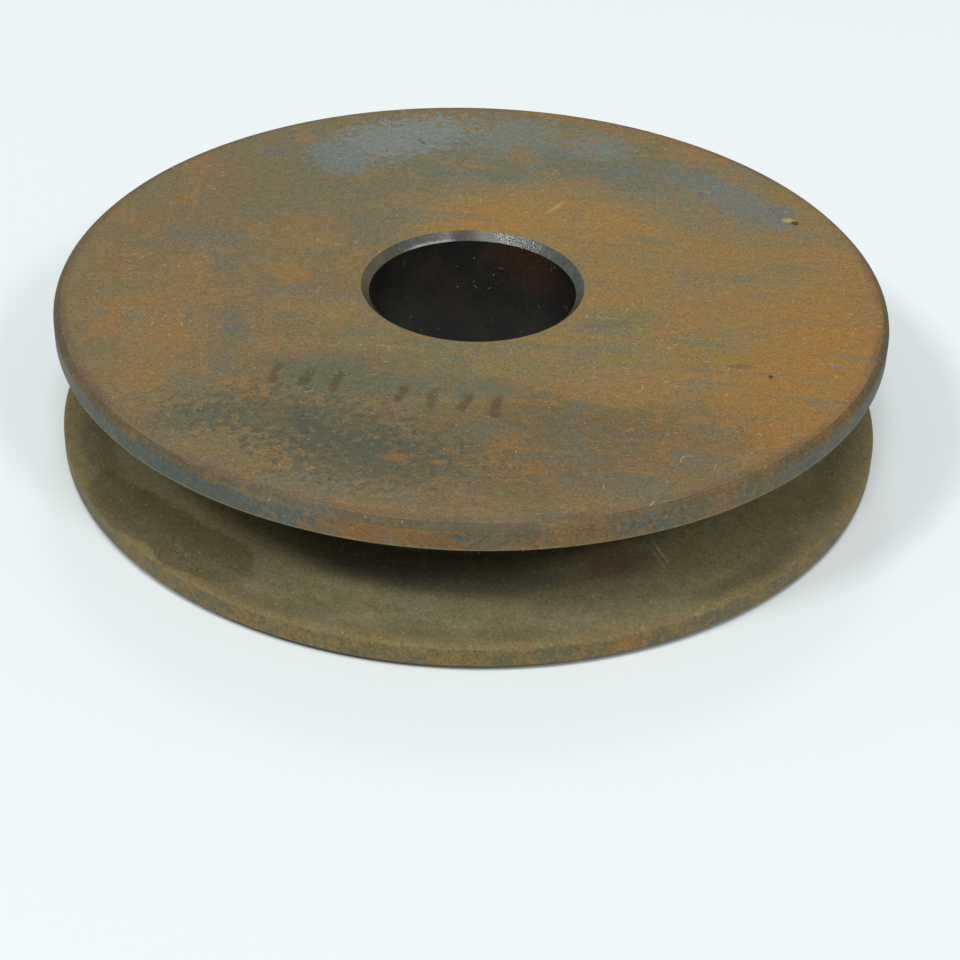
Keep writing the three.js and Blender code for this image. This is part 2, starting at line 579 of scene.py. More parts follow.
# %% The patches of the faces
# Each row: name, centre, half sizes (both in rim radii), turn in degrees, softness and tear of the
# edge, how fine the tear is (0 coarse to 1 fine), strength, colour, and any share of bare scale.
FACE_PATCHES = [
    ("warm_right", (0.55, -0.10), (0.48, 0.62), 0, 0.7, 2.0, 0.2, 0.75, (139, 116, 72)),
    ("warm_behind_bore", (0.14, 0.36), (0.36, 0.19), 6, 0.5, 2.0, 0.3, 0.80, (146, 119, 72)),
    ("orange_at_bore", (0.03, 0.33), (0.10, 0.07), 0, 0.7, 2.0, 0.5, 0.28, (156, 115, 60)),
    ("warm_front_right", (0.80, -0.34), (0.18, 0.40), -20, 0.6, 2.0, 0.4, 0.75, (151, 113, 61)),
    ("orange_right_rim", (0.87, 0.17), (0.08, 0.08), 0, 0.5, 2.5, 0.6, 0.50, (161, 114, 62)),
    ("orange_left", (-0.72, -0.22), (0.09, 0.14), 0, 0.6, 2.5, 0.5, 0.4, (149, 112, 65)),
    ("orange_far_left", (-0.68, 0.10), (0.05, 0.10), 0, 0.6, 2.5, 0.6, 0.5, (147, 110, 62)),
    ("gold_left", (-0.40, 0.20), (0.09, 0.05), 0, 0.6, 2.5, 0.5, 0.50, (149, 118, 65)),
    ("gold_left_low", (-0.48, 0.00), (0.07, 0.12), 0, 0.7, 2.5, 0.5, 0.35, (143, 113, 62)),
    ("gold_at_bore", (-0.32, -0.15), (0.06, 0.05), 0, 0.6, 2.5, 0.6, 0.4, (147, 116, 61)),
    ("olive_left", (-0.62, 0.36), (0.26, 0.30), 20, 0.8, 1.6, 0.3, 0.5, (117, 106, 82)),
    ("grey_behind", (0.05, 0.68), (0.56, 0.16), -4, 0.5, 2.0, 0.3, 0.85, (108, 111, 93)),
    ("grey_left_of_bore", (-0.36, 0.47), (0.20, 0.24), 20, 0.8, 1.5, 0.3, 0.6, (110, 108, 85)),
    ("grey_back_right", (0.52, 0.50), (0.28, 0.14), -35, 0.6, 2.0, 0.5, 0.65, (112, 111, 89)),
    ("green_round_bore", (-0.10, -0.30), (0.24, 0.06), -15, 0.8, 1.5, 0.3, 0.6, (112, 112, 80)),
    ("green_right_of_bore", (0.34, -0.16), (0.10, 0.05), 15, 0.7, 2.5, 0.6, 0.6, (107, 109, 82)),
    ("green_front", (0.33, -0.33), (0.30, 0.06), 12, 0.8, 2.0, 0.5, 0.5, (122, 114, 72)),
    ("green_right", (0.76, 0.10), (0.10, 0.05), 15, 0.7, 2.5, 0.6, 0.5, (118, 112, 80)),
    ("blue_at_marks", (-0.30, -0.42), (0.18, 0.07), -4, 0.7, 2.0, 0.6, 0.8, (93, 99, 84)),
    ("blue_right_of_marks", (0.00, -0.46), (0.20, 0.04), -2, 0.7, 2.0, 0.6, 0.6, (97, 101, 82)),
    ("brown_front", (0.04, -0.72), (0.34, 0.17), 0, 0.6, 2.2, 0.8, 0.7, (101, 93, 70)),
    ("smudge_right", (0.26, -0.60), (0.20, 0.08), -12, 0.6, 2.4, 0.7, 0.7, (104, 93, 62)),
    ("blue_right_front", (0.34, -0.64), (0.07, 0.03), -5, 0.5, 2.5, 0.9, 0.6, (95, 97, 86)),
    ("brown_front_right", (0.40, -0.70), (0.30, 0.14), 25, 0.7, 2.0, 0.5, 0.6, (112, 98, 71)),
]
# What lies over the rust, in the same columns: scale, pits, flecks, scratches, and a crumb with painted
# shade on one side.
SCALE_PATCHES = [
    ("scale_back_left", (-0.20, 0.785), (0.20, 0.105), 25, 0.12, 5.0, 0.85, 0.86, (125, 132, 126), 1.0),
    ("scale_left_tail", (-0.36, 0.65), (0.07, 0.10), 40, 0.12, 5.0, 0.85, 0.80, (115, 123, 119), 0.9),
    ("scale_back_middle", (0.09, 0.81), (0.13, 0.10), 20, 0.30, 6.0, 0.9, 0.65, (118, 125, 116), 0.8),
    ("scale_below_it", (0.20, 0.72), (0.08, 0.05), 0, 0.4, 3.5, 0.8, 0.5, (111, 117, 106), 0.6),
    ("scale_back_right", (0.33, 0.76), (0.07, 0.07), 30, 0.25, 6.0, 0.9, 0.65, (117, 124, 119), 0.8),
    ("blue_back_left", (-0.54, 0.68), (0.05, 0.03), 30, 0.5, 3.5, 0.8, 0.5, (105, 111, 102), 0.3),
    ("scale_far_right", (0.68, 0.46), (0.16, 0.07), -55, 0.20, 5.0, 0.85, 0.66, (110, 116, 110), 0.7),
    ("scale_right_of_back", (0.58, 0.58), (0.10, 0.05), -35, 0.3, 6.5, 0.9, 0.55, (109, 115, 110), 0.6),
    ("scale_right_rim", (0.78, 0.40), (0.04, 0.06), -10, 0.3, 4.0, 0.8, 0.5, (108, 113, 112), 0.6),
    ("blue_wisp", (0.40, 0.62), (0.06, 0.02), 55, 0.5, 3.0, 0.6, 0.5, (105, 113, 110), 0.3),
    ("rust_in_scale", (0.115, 0.70), (0.030, 0.06), 0, 0.5, 4.0, 0.8, 0.6, (137, 109, 66)),
    ("rust_fleck_in_scale", (0.315, 0.785), (0.016, 0.012), 0, 0.4, 2.5, 1.0, 0.6, (152, 106, 62)),
    ("rust_back_left", (-0.47, 0.76), (0.03, 0.02), 0, 0.4, 3.0, 0.8, 0.5, (149, 111, 62)),
    ("orange_back_rim", (0.56, 0.74), (0.04, 0.04), 0, 0.5, 3.5, 0.7, 0.5, (145, 109, 66)),
    ("warm_back_rim", (0.36, 0.88), (0.14, 0.03), -22, 0.5, 3.0, 0.7, 0.4, (136, 110, 72)),
    ("olive_at_marks", (-0.30, -0.46), (0.16, 0.05), -10, 0.8, 2.5, 0.7, 0.70, (99, 99, 78)),
    ("olive_below_marks", (0.00, -0.60), (0.14, 0.06), 0, 0.8, 2.5, 0.7, 0.45, (104, 97, 73)),
    ("blue_left", (-0.55, -0.24), (0.03, 0.07), 10, 0.5, 3.0, 0.6, 0.5, (100, 105, 93), 0.2),
    ("blue_left_low", (-0.58, -0.42), (0.03, 0.08), -15, 0.6, 3.0, 0.7, 0.5, (100, 106, 94), 0.1),
    ("blue_spot", (-0.555, -0.245), (0.018, 0.016), 0, 0.5, 3.0, 1.0, 0.4, (92, 103, 98)),
    ("dark_front", (-0.36, -0.62), (0.22, 0.10), -12, 0.4, 6.5, 1.0, 0.62, (81, 85, 72), 0.1),
    ("dark_front_low", (-0.22, -0.75), (0.20, 0.09), -8, 0.4, 6.5, 1.0, 0.62, (82, 84, 70), 0.1),
    ("dark_front_left", (-0.60, -0.62), (0.12, 0.05), 20, 0.4, 5.0, 1.0, 0.5, (87, 87, 72)),
    ("dark_blot", (-0.355, -0.62), (0.028, 0.06), 25, 0.5, 4.0, 1.0, 0.5, (74, 80, 72)),
    ("rust_fleck_front", (-0.15, -0.755), (0.032, 0.014), 0, 0.5, 3.0, 0.8, 0.6, (144, 100, 60)),
    ("rust_fleck_left", (-0.60, -0.43), (0.02, 0.015), 0, 0.5, 2.5, 0.7, 0.4, (150, 109, 62)),
    ("dark_fleck_right", (0.62, -0.345), (0.03, 0.010), 0, 0.5, 2.5, 0.8, 0.6, (108, 90, 72)),
    ("blue_fleck", (0.84, -0.334), (0.008, 0.007), 0, 0.4, 1.0, 1.0, 0.8, (104, 112, 140)),
    ("pit_right", (0.685, -0.385), (0.005, 0.008), 0, 0.4, 1.0, 1.0, 0.9, (70, 50, 40)),
    ("pale_scratch", (0.205, 0.405), (0.035, 0.006), 55, 0.5, 1.8, 0.8, 0.6, (172, 150, 105)),
    ("dark_scratch", (-0.15, 0.757), (0.020, 0.004), -60, 0.4, 1.0, 0.8, 0.7, (84, 82, 62)),
    ("crumb", (0.800, 0.372), (0.018, 0.012), -20, 0.3, 3.0, 1.0, 1.0, (172, 150, 92)),
    # The next row is painted shade on one side of the crumb.
    ("crumb_shade", (0.814, 0.358), (0.012, 0.010), -20, 0.3, 3.0, 1.0, 0.9, (66, 54, 34)),
]
print(len(FACE_PATCHES) + len(SCALE_PATCHES), "patches on the faces")


# %% The face finish
FACE_UNIT = (RIM_MM, RIM_MM)
FACE_EDGE = RIM_MM - RIM_CHAMFER_MM


def streaked(tree, place, colour):
    """Orange and grey streaks that rubbing left, more on the right than on the left."""
    streaks = noise(tree, drawn_out(tree, place, 0.12, (0.08, 0.5, 1.0)), 1.0, detail=6, rough=0.65)
    x, _, _ = three_parts(tree, place)
    share = between(tree, x, -0.5 * RIM_MM, 0.1 * RIM_MM, 0.12, 0.5)
    colour = tinted(tree, colour, (148, 113, 62), streaks, 0.52, 0.66, share)
    return tinted(tree, colour, (104, 107, 90), streaks, 0.48, 0.34, share)


def face_finish():
    """Rust over plate: patches, blooms, streaks, scale, a dark line at the edge, dirt in the marks, grain
    and dust."""
    made, tree, shader, place = material("rusted_face")
    place = flat_place(tree, place)
    coarse = noise(tree, place, 0.10, detail=7, rough=0.62)
    fine = noise(tree, shifted(tree, place, 40, 10, 0), 0.5, detail=7, rough=0.7)
    finer = noise(tree, shifted(tree, place, 15, 70, 0), 0.8, detail=8, rough=0.72)
    colour, _ = patched(tree, place, FACE_UNIT, linear(123, 108, 76), FACE_PATCHES, coarse, fine)
    x, _, _ = three_parts(tree, place)
    haze = between(tree, x, 0.2 * RIM_MM, 0.7 * RIM_MM, 0.45, 0.15)
    colour = laid(tree, rust_bloom, place, colour, Orange=0.45, Haze=haze, Dots=0.35)
    colour = streaked(tree, place, colour)
    colour, bare = patched(tree, place, FACE_UNIT, colour, SCALE_PATCHES, fine, finer)
    radius = radius_of(tree, place)
    broken = between(tree, coarse, 0.4, 0.6, 0.21, 0.60)
    colour = tinted(tree, colour, (92, 78, 72), radius, FACE_EDGE - 1.3, FACE_EDGE - 0.1, broken)
    stamped = add(tree, "Attribute", attribute_name="stamped", out=2)
    colour = tinted(tree, colour, (80, 68, 50), shaken(tree, stamped, finer, 1.5), 0.25, 1.05, 0.6)
    colour = laid(tree, grain, place, colour, Depth=0.54)
    colour = laid(tree, dust, place, colour, Fibres=0.62, Dots=0.55)
    coated(tree, shader, colour, between(tree, fine, 0.3, 0.7, 0.52, 0.72), 0.08)
    tree.links.new(product(tree, bare, 0.12), shader["Metallic"])
    grained(tree, shader, fine, 0.4, 0.10)
    return made


rusted_face = face_finish()

# %% [markdown]
# ## Finishes of the rim
#
# The chamfers and lands were turned, so they are smoother. The upper land is blue-grey steel with
# rust breaking through at the front, and the lower one is mottled rust. Both lands are one material
# that changes with height. The patches are placed by degrees round from the front and by height.

# %% The patches of the upper land
# Centres and half sizes are degrees from the front, and millimetres of height.
LAND_PATCHES = [
    ("rust_left_end", (-68, 17.5), (4, 3), 0, 0.4, 4.0, 0.8, 0.5, (121, 100, 68)),
    ("rust_front", (-10, 17.5), (9, 4), 0, 0.3, 4.0, 0.9, 0.9, (124, 91, 46)),
    ("rust_right_front", (10, 17.2), (12, 3), 0, 0.3, 5.0, 0.9, 0.7, (108, 87, 48)),
    ("rust_right", (34, 17.5), (12, 3), 0, 0.3, 5.0, 0.9, 0.6, (110, 94, 62)),
]
LAND_UNIT = (RIM_MM * math.pi / 180, 1.0)


# %% The land finish
UPPER_LIP = MIDDLE_MM + GROOVE_TOP_MM / 2


def land_finish():
    """Blue-grey steel with a painted highlight along its lip above the groove, and mottled rust below it.
    """
    made, tree, shader, place = material("rusted_land")
    _, _, z = three_parts(tree, place)
    rim_place = unrolled(tree, place, FROM_FRONT, LAND_UNIT[0], z)
    coarse = noise(tree, place, 0.35)
    fine = noise(tree, place, 1.3, rough=0.7)
    rings = place_group(tree, tool_lines, {"Place": place, "Pitch": 3.0})
    upper = tinted(tree, linear(74, 82, 76), (84, 88, 75), fine, 0.35, 0.65)
    upper, _ = patched(tree, rim_place, LAND_UNIT, upper, LAND_PATCHES, coarse, fine)
    # Painted highlight: a pale line along the upper land's lower edge, where its rounded lip catches the
    # light.
    lip = shaken(tree, z, fine, 0.4)
    upper = tinted(tree, upper, (134, 116, 76), lip, UPPER_LIP + 0.40, UPPER_LIP + 0.10, 0.7)
    mottle = maths(tree, "ADD", fine, coarse)
    lower = tinted(tree, linear(100, 95, 68), (126, 104, 62), mottle, 0.85, 1.15)
    colour = blend(tree, between(tree, z, MIDDLE_MM - 1, MIDDLE_MM + 1), lower, upper)
    haze = between(tree, z, MIDDLE_MM - 1, MIDDLE_MM + 1, 0.1, 0.3)
    colour = laid(tree, rust_bloom, place, colour, Orange=0.3, Haze=haze, Dots=0.2)
    colour = laid(tree, grain, place, colour, Depth=0.55, Rubbed=0.0)
    colour = laid(tree, dust, rim_place, colour, Fibres=0.0, Dots=0.5)
    coated(tree, shader, colour, 0.55, 0.2)
    grained(tree, shader, maths(tree, "ADD", fine, rings), 0.35, 0.06)
    return made


rusted_land = land_finish()


# %% The chamfer finish
def chamfer_finish():
    """Brown steel, a little lighter along its tool lines."""
    made, tree, shader, place = material("rusted_chamfer")
    rings = place_group(tree, tool_lines, {"Place": place, "Pitch": 4.0})
    colour = tinted(tree, linear(86, 78, 56), (98, 85, 57), rings, 0.35, 0.65)
    colour = laid(tree, rust_bloom, place, colour, Orange=0.25, Haze=0.3, Dots=0.2)
    colour = laid(tree, grain, place, colour, Depth=0.5, Rubbed=0.0)
    colour = laid(tree, dust, place, colour, Fibres=0.0, Dots=0.5)
    coated(tree, shader, colour, 0.6, 0.2)
    grained(tree, shader, rings, 0.35, 0.06)
    return made


rusted_chamfer = chamfer_finish()

# %% [markdown]
# ## Finish of the groove
#
# Belt dust lies on oily steel. The walls are olive brown, rusty towards the rim and almost black
# towards the root, where the colour is darkened by painted shade that is partly grime; at the front
# a patch of painted shade darkens the depth further. Oil has crept up them in big stains with wavy
# edges. Stains are patches again, placed by degrees from the front and by radius.

# %% The patches of the groove
# Centres and half sizes are degrees from the front, and rim radii.
WALL_PATCHES = [
    ("dust_above", (0, 0.865), (85, 0.036), 0, 0.70, 1.5, 0.4, 0.60, (136, 128, 95)),
    # The next row is painted shade: a dark patch in the groove's depth at the front only, where the upper
    # flange's shadow lies.
    ("depth_in_front", (-8, 0.775), (24, 0.060), 0, 0.5, 1.2, 0.3, 0.60, (50, 47, 37)),
    ("stain_left", (-46, 0.938), (20, 0.056), -4, 0.08, 3.0, 0.25, 0.50, (74, 70, 50)),
    ("stain_left_haze", (-52, 0.935), (32, 0.045), -4, 0.60, 1.5, 0.3, 0.15, (76, 71, 50)),
    ("stain_far_left", (-72, 0.930), (8, 0.034), 0, 0.20, 3.4, 0.4, 0.30, (72, 70, 50)),
    ("stain_left_low", (-38, 0.968), (20, 0.020), 0, 0.60, 2.4, 0.5, 0.35, (82, 72, 50)),
    ("stain_right", (62, 0.948), (5, 0.036), 0, 0.30, 2.8, 0.4, 0.25, (66, 67, 48)),
    ("stain_right_low", (44, 0.960), (9, 0.022), 0, 0.40, 2.6, 0.3, 0.45, (72, 68, 48)),
    # The next row makes the wall darker on the right, near the rim.
    ("haze_right", (48, 0.950), (18, 0.035), 0, 0.60, 1.5, 0.3, 0.15, (86, 84, 62)),
    ("stain_front_left", (-19, 0.945), (5, 0.022), 0, 0.20, 3.4, 0.5, 0.32, (82, 77, 56)),
    ("stain_front", (-6, 0.955), (5, 0.022), 0, 0.20, 3.4, 0.5, 0.32, (84, 79, 58)),
    ("stain_front_right", (6, 0.962), (4, 0.020), 0, 0.20, 3.4, 0.5, 0.32, (84, 79, 58)),
    ("stain_band", (-8, 0.970), (24, 0.014), 0, 0.50, 3.4, 0.5, 0.25, (88, 80, 58)),
    ("blue_in_depth", (-2, 0.838), (20, 0.026), 0, 0.5, 2.5, 0.6, 0.45, (78, 78, 76)),
    ("rust_in_depth", (24, 0.825), (6, 0.030), 0, 0.5, 2.0, 0.6, 0.60, (96, 70, 52)),
    ("scratch", (32, 0.835), (0.22, 0.035), 0, 0.5, 1.0, 0.5, 0.90, (158, 150, 124)),
    ("scratch_beside", (31, 0.845), (0.18, 0.028), 0, 0.5, 1.0, 0.5, 0.80, (150, 142, 116)),
]
WALL_UNIT = (RIM_MM * math.pi / 180, RIM_MM)


# %% The groove finish
def groove_finish():
    """Olive dust, warmer at the lip and darkened in the depth by painted shade that is partly grime, with
    stains and a scratch over it.
    """
    made, tree, shader, place = material("dusty_groove")
    radius = radius_of(tree, place)
    wall_place = unrolled(tree, place, FROM_FRONT, WALL_UNIT[0], radius)
    coarse = noise(tree, flat_place(tree, place), 0.09, rough=0.45)
    fine = noise(tree, place, 0.9, detail=6, rough=0.7)
    rings = place_group(tree, tool_lines, {"Place": place, "Pitch": 2.5})
    colour = tinted(tree, linear(109, 104, 75), (122, 114, 82), fine, 0.35, 0.65)
    lip = shaken(tree, radius, fine, 4.0)
    colour = tinted(tree, colour, (124, 108, 72), lip, RIM_MM - 2.6, RIM_MM - 0.2, 0.7)
    # Painted shade, partly grime: the colour darkens towards the root, deep under the upper flange.
    root_shade_and_grime = shaken(tree, radius, coarse, 3.0)
    colour = tinted(tree, colour, (50, 47, 37), root_shade_and_grime, RIM_MM - 10.5, RIM_MM - 13, 0.7)
    colour, _ = patched(tree, wall_place, WALL_UNIT, colour, WALL_PATCHES, coarse, fine)
    colour = laid(tree, rust_bloom, place, colour, Orange=0.08, Haze=0.12, Dots=0.0)
    colour = laid(tree, grain, place, colour, Broad=0.5, Depth=0.5, Rubbed=0.0)
    colour = laid(tree, dust, wall_place, colour, Fibres=0.15, Dots=0.55, Spacing=1.1)
    coated(tree, shader, colour, 0.85, 0.1)
    grained(tree, shader, maths(tree, "ADD", fine, rings), 0.4, 0.08)
    return made


dusty_groove = groove_finish()

# %% [markdown]
# ## Finishes of the bush
#
# The chamfer at the bush's mouth is rubbed bare: blue-grey steel with a film of oil, dark in one
# place at the back and rusty at the left. It glints where it faces the soft boxes, which a low
# roughness and a fine relief give by themselves, and a thin line of painted highlight lies along
# its inner edge at the back left. The bore is coated with old black oil.

# %% The patches of the ring and of the bore
# Centres and half sizes are degrees from the back, and millimetres of radius or of height.
RING_PATCHES = [
    ("dark_notch", (-6, 13.2), (7, 3), 0, 0.4, 1.5, 0.6, 0.95, (30, 30, 24)),
    ("rust_left", (-92, 13.2), (42, 3), 0, 0.6, 2.0, 0.6, 0.85, (92, 82, 58)),
    ("rust_right", (118, 13.2), (26, 3), 0, 0.6, 2.0, 0.6, 0.50, (86, 80, 62)),
    # The next row is a painted highlight: a pale line along the ring's inner edge at the back left, in
    # place of a glint.
    ("worn_edge", (-27, 12.80), (14, 0.16), 0, 0.4, 1.5, 0.6, 0.85, (150, 158, 156)),
]
BORE_PATCHES = [
    ("brown_back_right", (36, 17.0), (24, 3.5), 0, 0.6, 2.0, 0.5, 0.7, (62, 38, 24)),
    ("brown_back_left", (-25, 12.0), (14, 5.0), 0, 0.6, 2.0, 0.5, 0.25, (52, 38, 28)),
]
RING_RADIUS_MM = 13.2
RING_UNIT = (RING_RADIUS_MM * math.pi / 180, 1.0)


# %% The ring finish
def arc_mask(tree, ring_place, field, middle_angle, half_angle):
    """A ragged mask over an arc of the ring, in degrees from the back."""
    inputs = {
        "Place": ring_place,
        "Field": field,
        "Centre": (middle_angle * RING_UNIT[0], RING_RADIUS_MM, 0),
        "Length": half_angle * RING_UNIT[0],
        "Breadth": 3.0,
    }
    return place_group(tree, ragged_patch, inputs)


def ring_finish():
    """Bare oiled steel with a pitted arc, smoother but with a deeper relief, a dull arc beside it, and a
    painted highlight along the inner edge at the back left.
    """
    made, tree, shader, place = material("bare_ring")
    ring_place = unrolled(tree, place, FROM_BACK, RING_UNIT[0], radius_of(tree, place))
    smear = noise(tree, place, 0.35)
    fine = noise(tree, place, 4.0, detail=3, rough=0.6)
    steel = tinted(tree, linear(66, 70, 64), (88, 93, 88), smear, 0.35, 0.6)
    colour, _ = patched(tree, ring_place, RING_UNIT, steel, RING_PATCHES, smear, fine)
    colour = laid(tree, grain, place, colour, Depth=0.6, Rubbed=0.0)
    pitted = arc_mask(tree, ring_place, fine, 23, 14)
    dull = arc_mask(tree, ring_place, fine, -3, 13)
    rough = between(tree, smear, 0.40, 0.60, 0.32, 0.22)
    rough = maths(tree, "MULTIPLY_ADD", pitted, -0.14, rough)
    rough = maths(tree, "MULTIPLY_ADD", dull, 0.30, rough)
    coated(tree, shader, colour, rough, 0.7)
    relief = product(tree, fine, maths(tree, "MULTIPLY_ADD", pitted, 3.0, 1.0))
    grained(tree, shader, relief, 0.6, 0.03)
    return made


bare_ring = ring_finish()


# %% The bore finish
def bore_finish():
    """Black oil that turns brown where it lies thin at the back, with a little lint and dust."""
    made, tree, shader, place = material("oily_bore")
    _, _, z = three_parts(tree, place)
    bore_place = unrolled(tree, place, FROM_BACK, RING_UNIT[0], z)
    coarse = noise(tree, place, 0.25)
    fine = noise(tree, place, 1.2, rough=0.7)
    oil = tinted(tree, linear(26, 26, 22), (38, 33, 26), coarse, 0.40, 0.62)
    colour, _ = patched(tree, bore_place, RING_UNIT, oil, BORE_PATCHES, coarse, fine)
    colour = laid(tree, grain, place, colour, Broad=0.6, Depth=0.7, Rubbed=0.0)
    colour = laid(tree, dust, bore_place, colour, Fibres=0.35, Dots=0.5, Spacing=2.4)
    coated(tree, shader, colour, 0.45, 0.3)
    grained(tree, shader, fine, 0.4, 0.08)
    return made


oily_bore = bore_finish()

# %% [markdown]
# ## Outlines
#
# A turned piece is one closed outline carried round the axis. Corners are rounded by a small arc,
# because a real edge is never sharp and a rounded one catches the light. A Screw or Spin modifier
# would turn the outline too, but arrays give the same grid with exact zones for the materials.


# %% Rounded outline
def corner_arc(before, at, after, rounding, steps=5):
    """The arc of that rounding in the corner before-at-after. It touches each side at rounding/tan(half
    angle) from the corner, and its points are slerped between the two touching directions."""
    u = (before - at) / np.linalg.norm(before - at)
    v = (after - at) / np.linalg.norm(after - at)
    half = math.acos(np.clip(u @ v, -1, 1)) / 2
    centre = at + (u + v) / np.linalg.norm(u + v) * rounding / math.sin(half)
    a = (at + u * rounding / math.tan(half) - centre) / rounding
    b = (at + v * rounding / math.tan(half) - centre) / rounding
    sweep = math.acos(np.clip(a @ b, -1, 1))
    share = np.linspace(0, 1, steps + 1)[:, None]
    arc = np.sin((1 - share) * sweep) * a + np.sin(share * sweep) * b
    return centre + rounding * arc / math.sin(sweep)


END_GAP = 0.12 * MM


def side(start, end, step):
    """Points between start and end, with one close to each end to hold the flat. step is about the gap
    between them, or an array of their own shares of the way."""
    length = np.linalg.norm(end - start)
    if isinstance(step, float):
        share = np.linspace(0, 1, max(2, round(length / step)) + 1)[1:-1]
    else:
        share = np.asarray(step)
    close = min(END_GAP / length, 0.2)
    inner = share[(share > close) & (share < 1 - close)]
    share = np.unique(np.concatenate([[close], inner, [1 - close]]))
    return start + share[:, None] * (end - start)


def outline(corners):
    """A closed outline: each corner is (radius, height, rounding, step of the side after it)."""
    points = [np.array(corner[:2]) for corner in corners]
    arcs = []
    for k, corner in enumerate(corners):
        arcs.append(corner_arc(points[k - 1], points[k], points[(k + 1) % len(corners)], corner[2]))
    pieces = []
    for k, corner in enumerate(corners):
        pieces += [arcs[k], side(arcs[k][-1], arcs[(k + 1) % len(corners)][0], corner[3])]
    return np.concatenate(pieces)


# %% Surface of revolution
def turned_surface(profile, angles):
    """(radius cos a, radius sin a, height) for each profile point and angle; the outline and the turn both
    close on themselves, and the outline runs anticlockwise, so the faces point outwards."""
    radius, height = profile[:, 0, None], profile[:, 1, None]
    grid = [radius * np.cos(angles), radius * np.sin(angles), height + 0 * angles]
    points = np.stack(grid, axis=-1).reshape(-1, 3)
    rows, columns = len(profile), len(angles)
    index = np.arange(rows * columns).reshape(rows, columns)
    next_row = np.roll(index, -1, axis=0)
    corners = [index, np.roll(index, -1, axis=1), np.roll(next_row, -1, axis=1), next_row]
    return points, np.stack(corners, axis=-1).reshape(-1, 4)


def mesh_piece(name, points, faces, zones, materials):
    """A smooth shaded mesh object at the origin, with one material for each zone number."""
    mesh = bpy.data.meshes.new(name)
    mesh.vertices.add(len(points))
    mesh.vertices.foreach_set("co", points.ravel())
    mesh.loops.add(faces.size)
    mesh.loops.foreach_set("vertex_index", faces.ravel())
    mesh.polygons.add(len(faces))
    mesh.polygons.foreach_set("loop_start", np.arange(0, faces.size, 4))
    for finish in materials:
        mesh.materials.append(finish)
    mesh.polygons.foreach_set("material_index", zones)
    mesh.polygons.foreach_set("use_smooth", np.ones(len(faces), dtype=bool))
    mesh.update(calc_edges=True)
    print(f"{name}: {len(points)} points, {2 * len(faces)} triangles")
    return linked(name, mesh)


# %% [markdown]
# ## The sheave
#
# The sheave's outline repeats the sizes that it was turned to: chamfered rim, two lands, a 34
# degree groove with a rounded root, and the seat of the bush. The upper face has close rings and
# close angles only where the chisel marks are, so that they can be cut into the mesh itself.

# %% The sheave's outline
RIM_CHAMFER = RIM_CHAMFER_MM * MM
GROOVE_TOP = GROOVE_TOP_MM * MM
GROOVE_ANGLE = math.radians(34)
GROOVE_DEPTH = 13 * MM
ROOT_ROUNDING = 1.5 * MM
SEAT = BUSH + 0.03 * MM
FACE_ROUNDING = 1.1 * MM
EDGE = 0.5 * MM
LAND_EDGE = 0.25 * MM
LOWER_LAND_EDGE = 0.6 * MM
JOINT_EDGE = 0.01 * MM

middle = WIDTH / 2
half_top = GROOVE_TOP / 2
half_root = half_top - GROOVE_DEPTH * math.tan(GROOVE_ANGLE / 2)
root = RIM - GROOVE_DEPTH

MARK_ZONE = (25.5 * MM, 34.5 * MM)  # radii that the marks lie between
MARK_STEP = 0.2 * MM
FACE_STEP = 1.5 * MM
outer_rings = np.arange(RIM - 2 * MM, MARK_ZONE[1], -FACE_STEP)
mark_rings = np.arange(MARK_ZONE[1], MARK_ZONE[0], -MARK_STEP)
inner_rings = np.arange(MARK_ZONE[0], SEAT + MM, -FACE_STEP)
face_rings = np.concatenate([outer_rings, mark_rings, inner_rings])
face_shares = (RIM - RIM_CHAMFER - face_rings) / (RIM - RIM_CHAMFER - SEAT)

sheave_corners = [
    (SEAT, 0, JOINT_EDGE, 2.0 * MM),
    (RIM - RIM_CHAMFER, 0, FACE_ROUNDING, 0.3 * MM),
    (RIM, RIM_CHAMFER, EDGE, 0.6 * MM),
    (RIM, middle - half_top, LOWER_LAND_EDGE, 1.0 * MM),
    (root, middle - half_root, ROOT_ROUNDING, 1.0 * MM),
    (root, middle + half_root, ROOT_ROUNDING, 1.0 * MM),
    (RIM, middle + half_top, LAND_EDGE, 0.6 * MM),
    (RIM, WIDTH - RIM_CHAMFER, EDGE, 0.3 * MM),
    (RIM - RIM_CHAMFER, WIDTH, FACE_ROUNDING, face_shares),
    (SEAT, WIDTH, JOINT_EDGE, 2.0 * MM),
]
sheave_profile = outline(sheave_corners)
print(f"sheave outline: {len(sheave_profile)} points, groove root {root / MM:.1f} mm from the axis")

# %% [markdown]
# ### Chisel marks
#
# A row of plain short strokes is struck into the upper face, shallow and blunt, with dirt in and
# around them. Each is a rounded trough cut into the mesh: its depth depends on the distance from a
# short, slightly bent line, and wanders along it.

# %% The chisel marks
MARK_DEPTH = 0.20 * MM
MARK_START = np.array([-0.435, -0.430]) * RIM
MARK_END = np.array([0.075, -0.545]) * RIM
# Each mark: place along the row (0 to 1), lean in degrees, half length, half width and bend in mm.
MARKS = [
    (0.00, 6, 1.6, 0.50, 0.10),
    (0.13, -7, 1.4, 0.62, -0.15),
    (0.27, 3, 1.7, 0.55, 0.12),
    (0.56, -4, 1.5, 0.55, -0.10),
    (0.70, 8, 1.6, 0.60, 0.15),
    (0.84, -2, 1.4, 0.55, -0.12),
    (0.98, 10, 1.7, 0.48, 0.08),
]
DIRT_REACH = 0.8 * MM


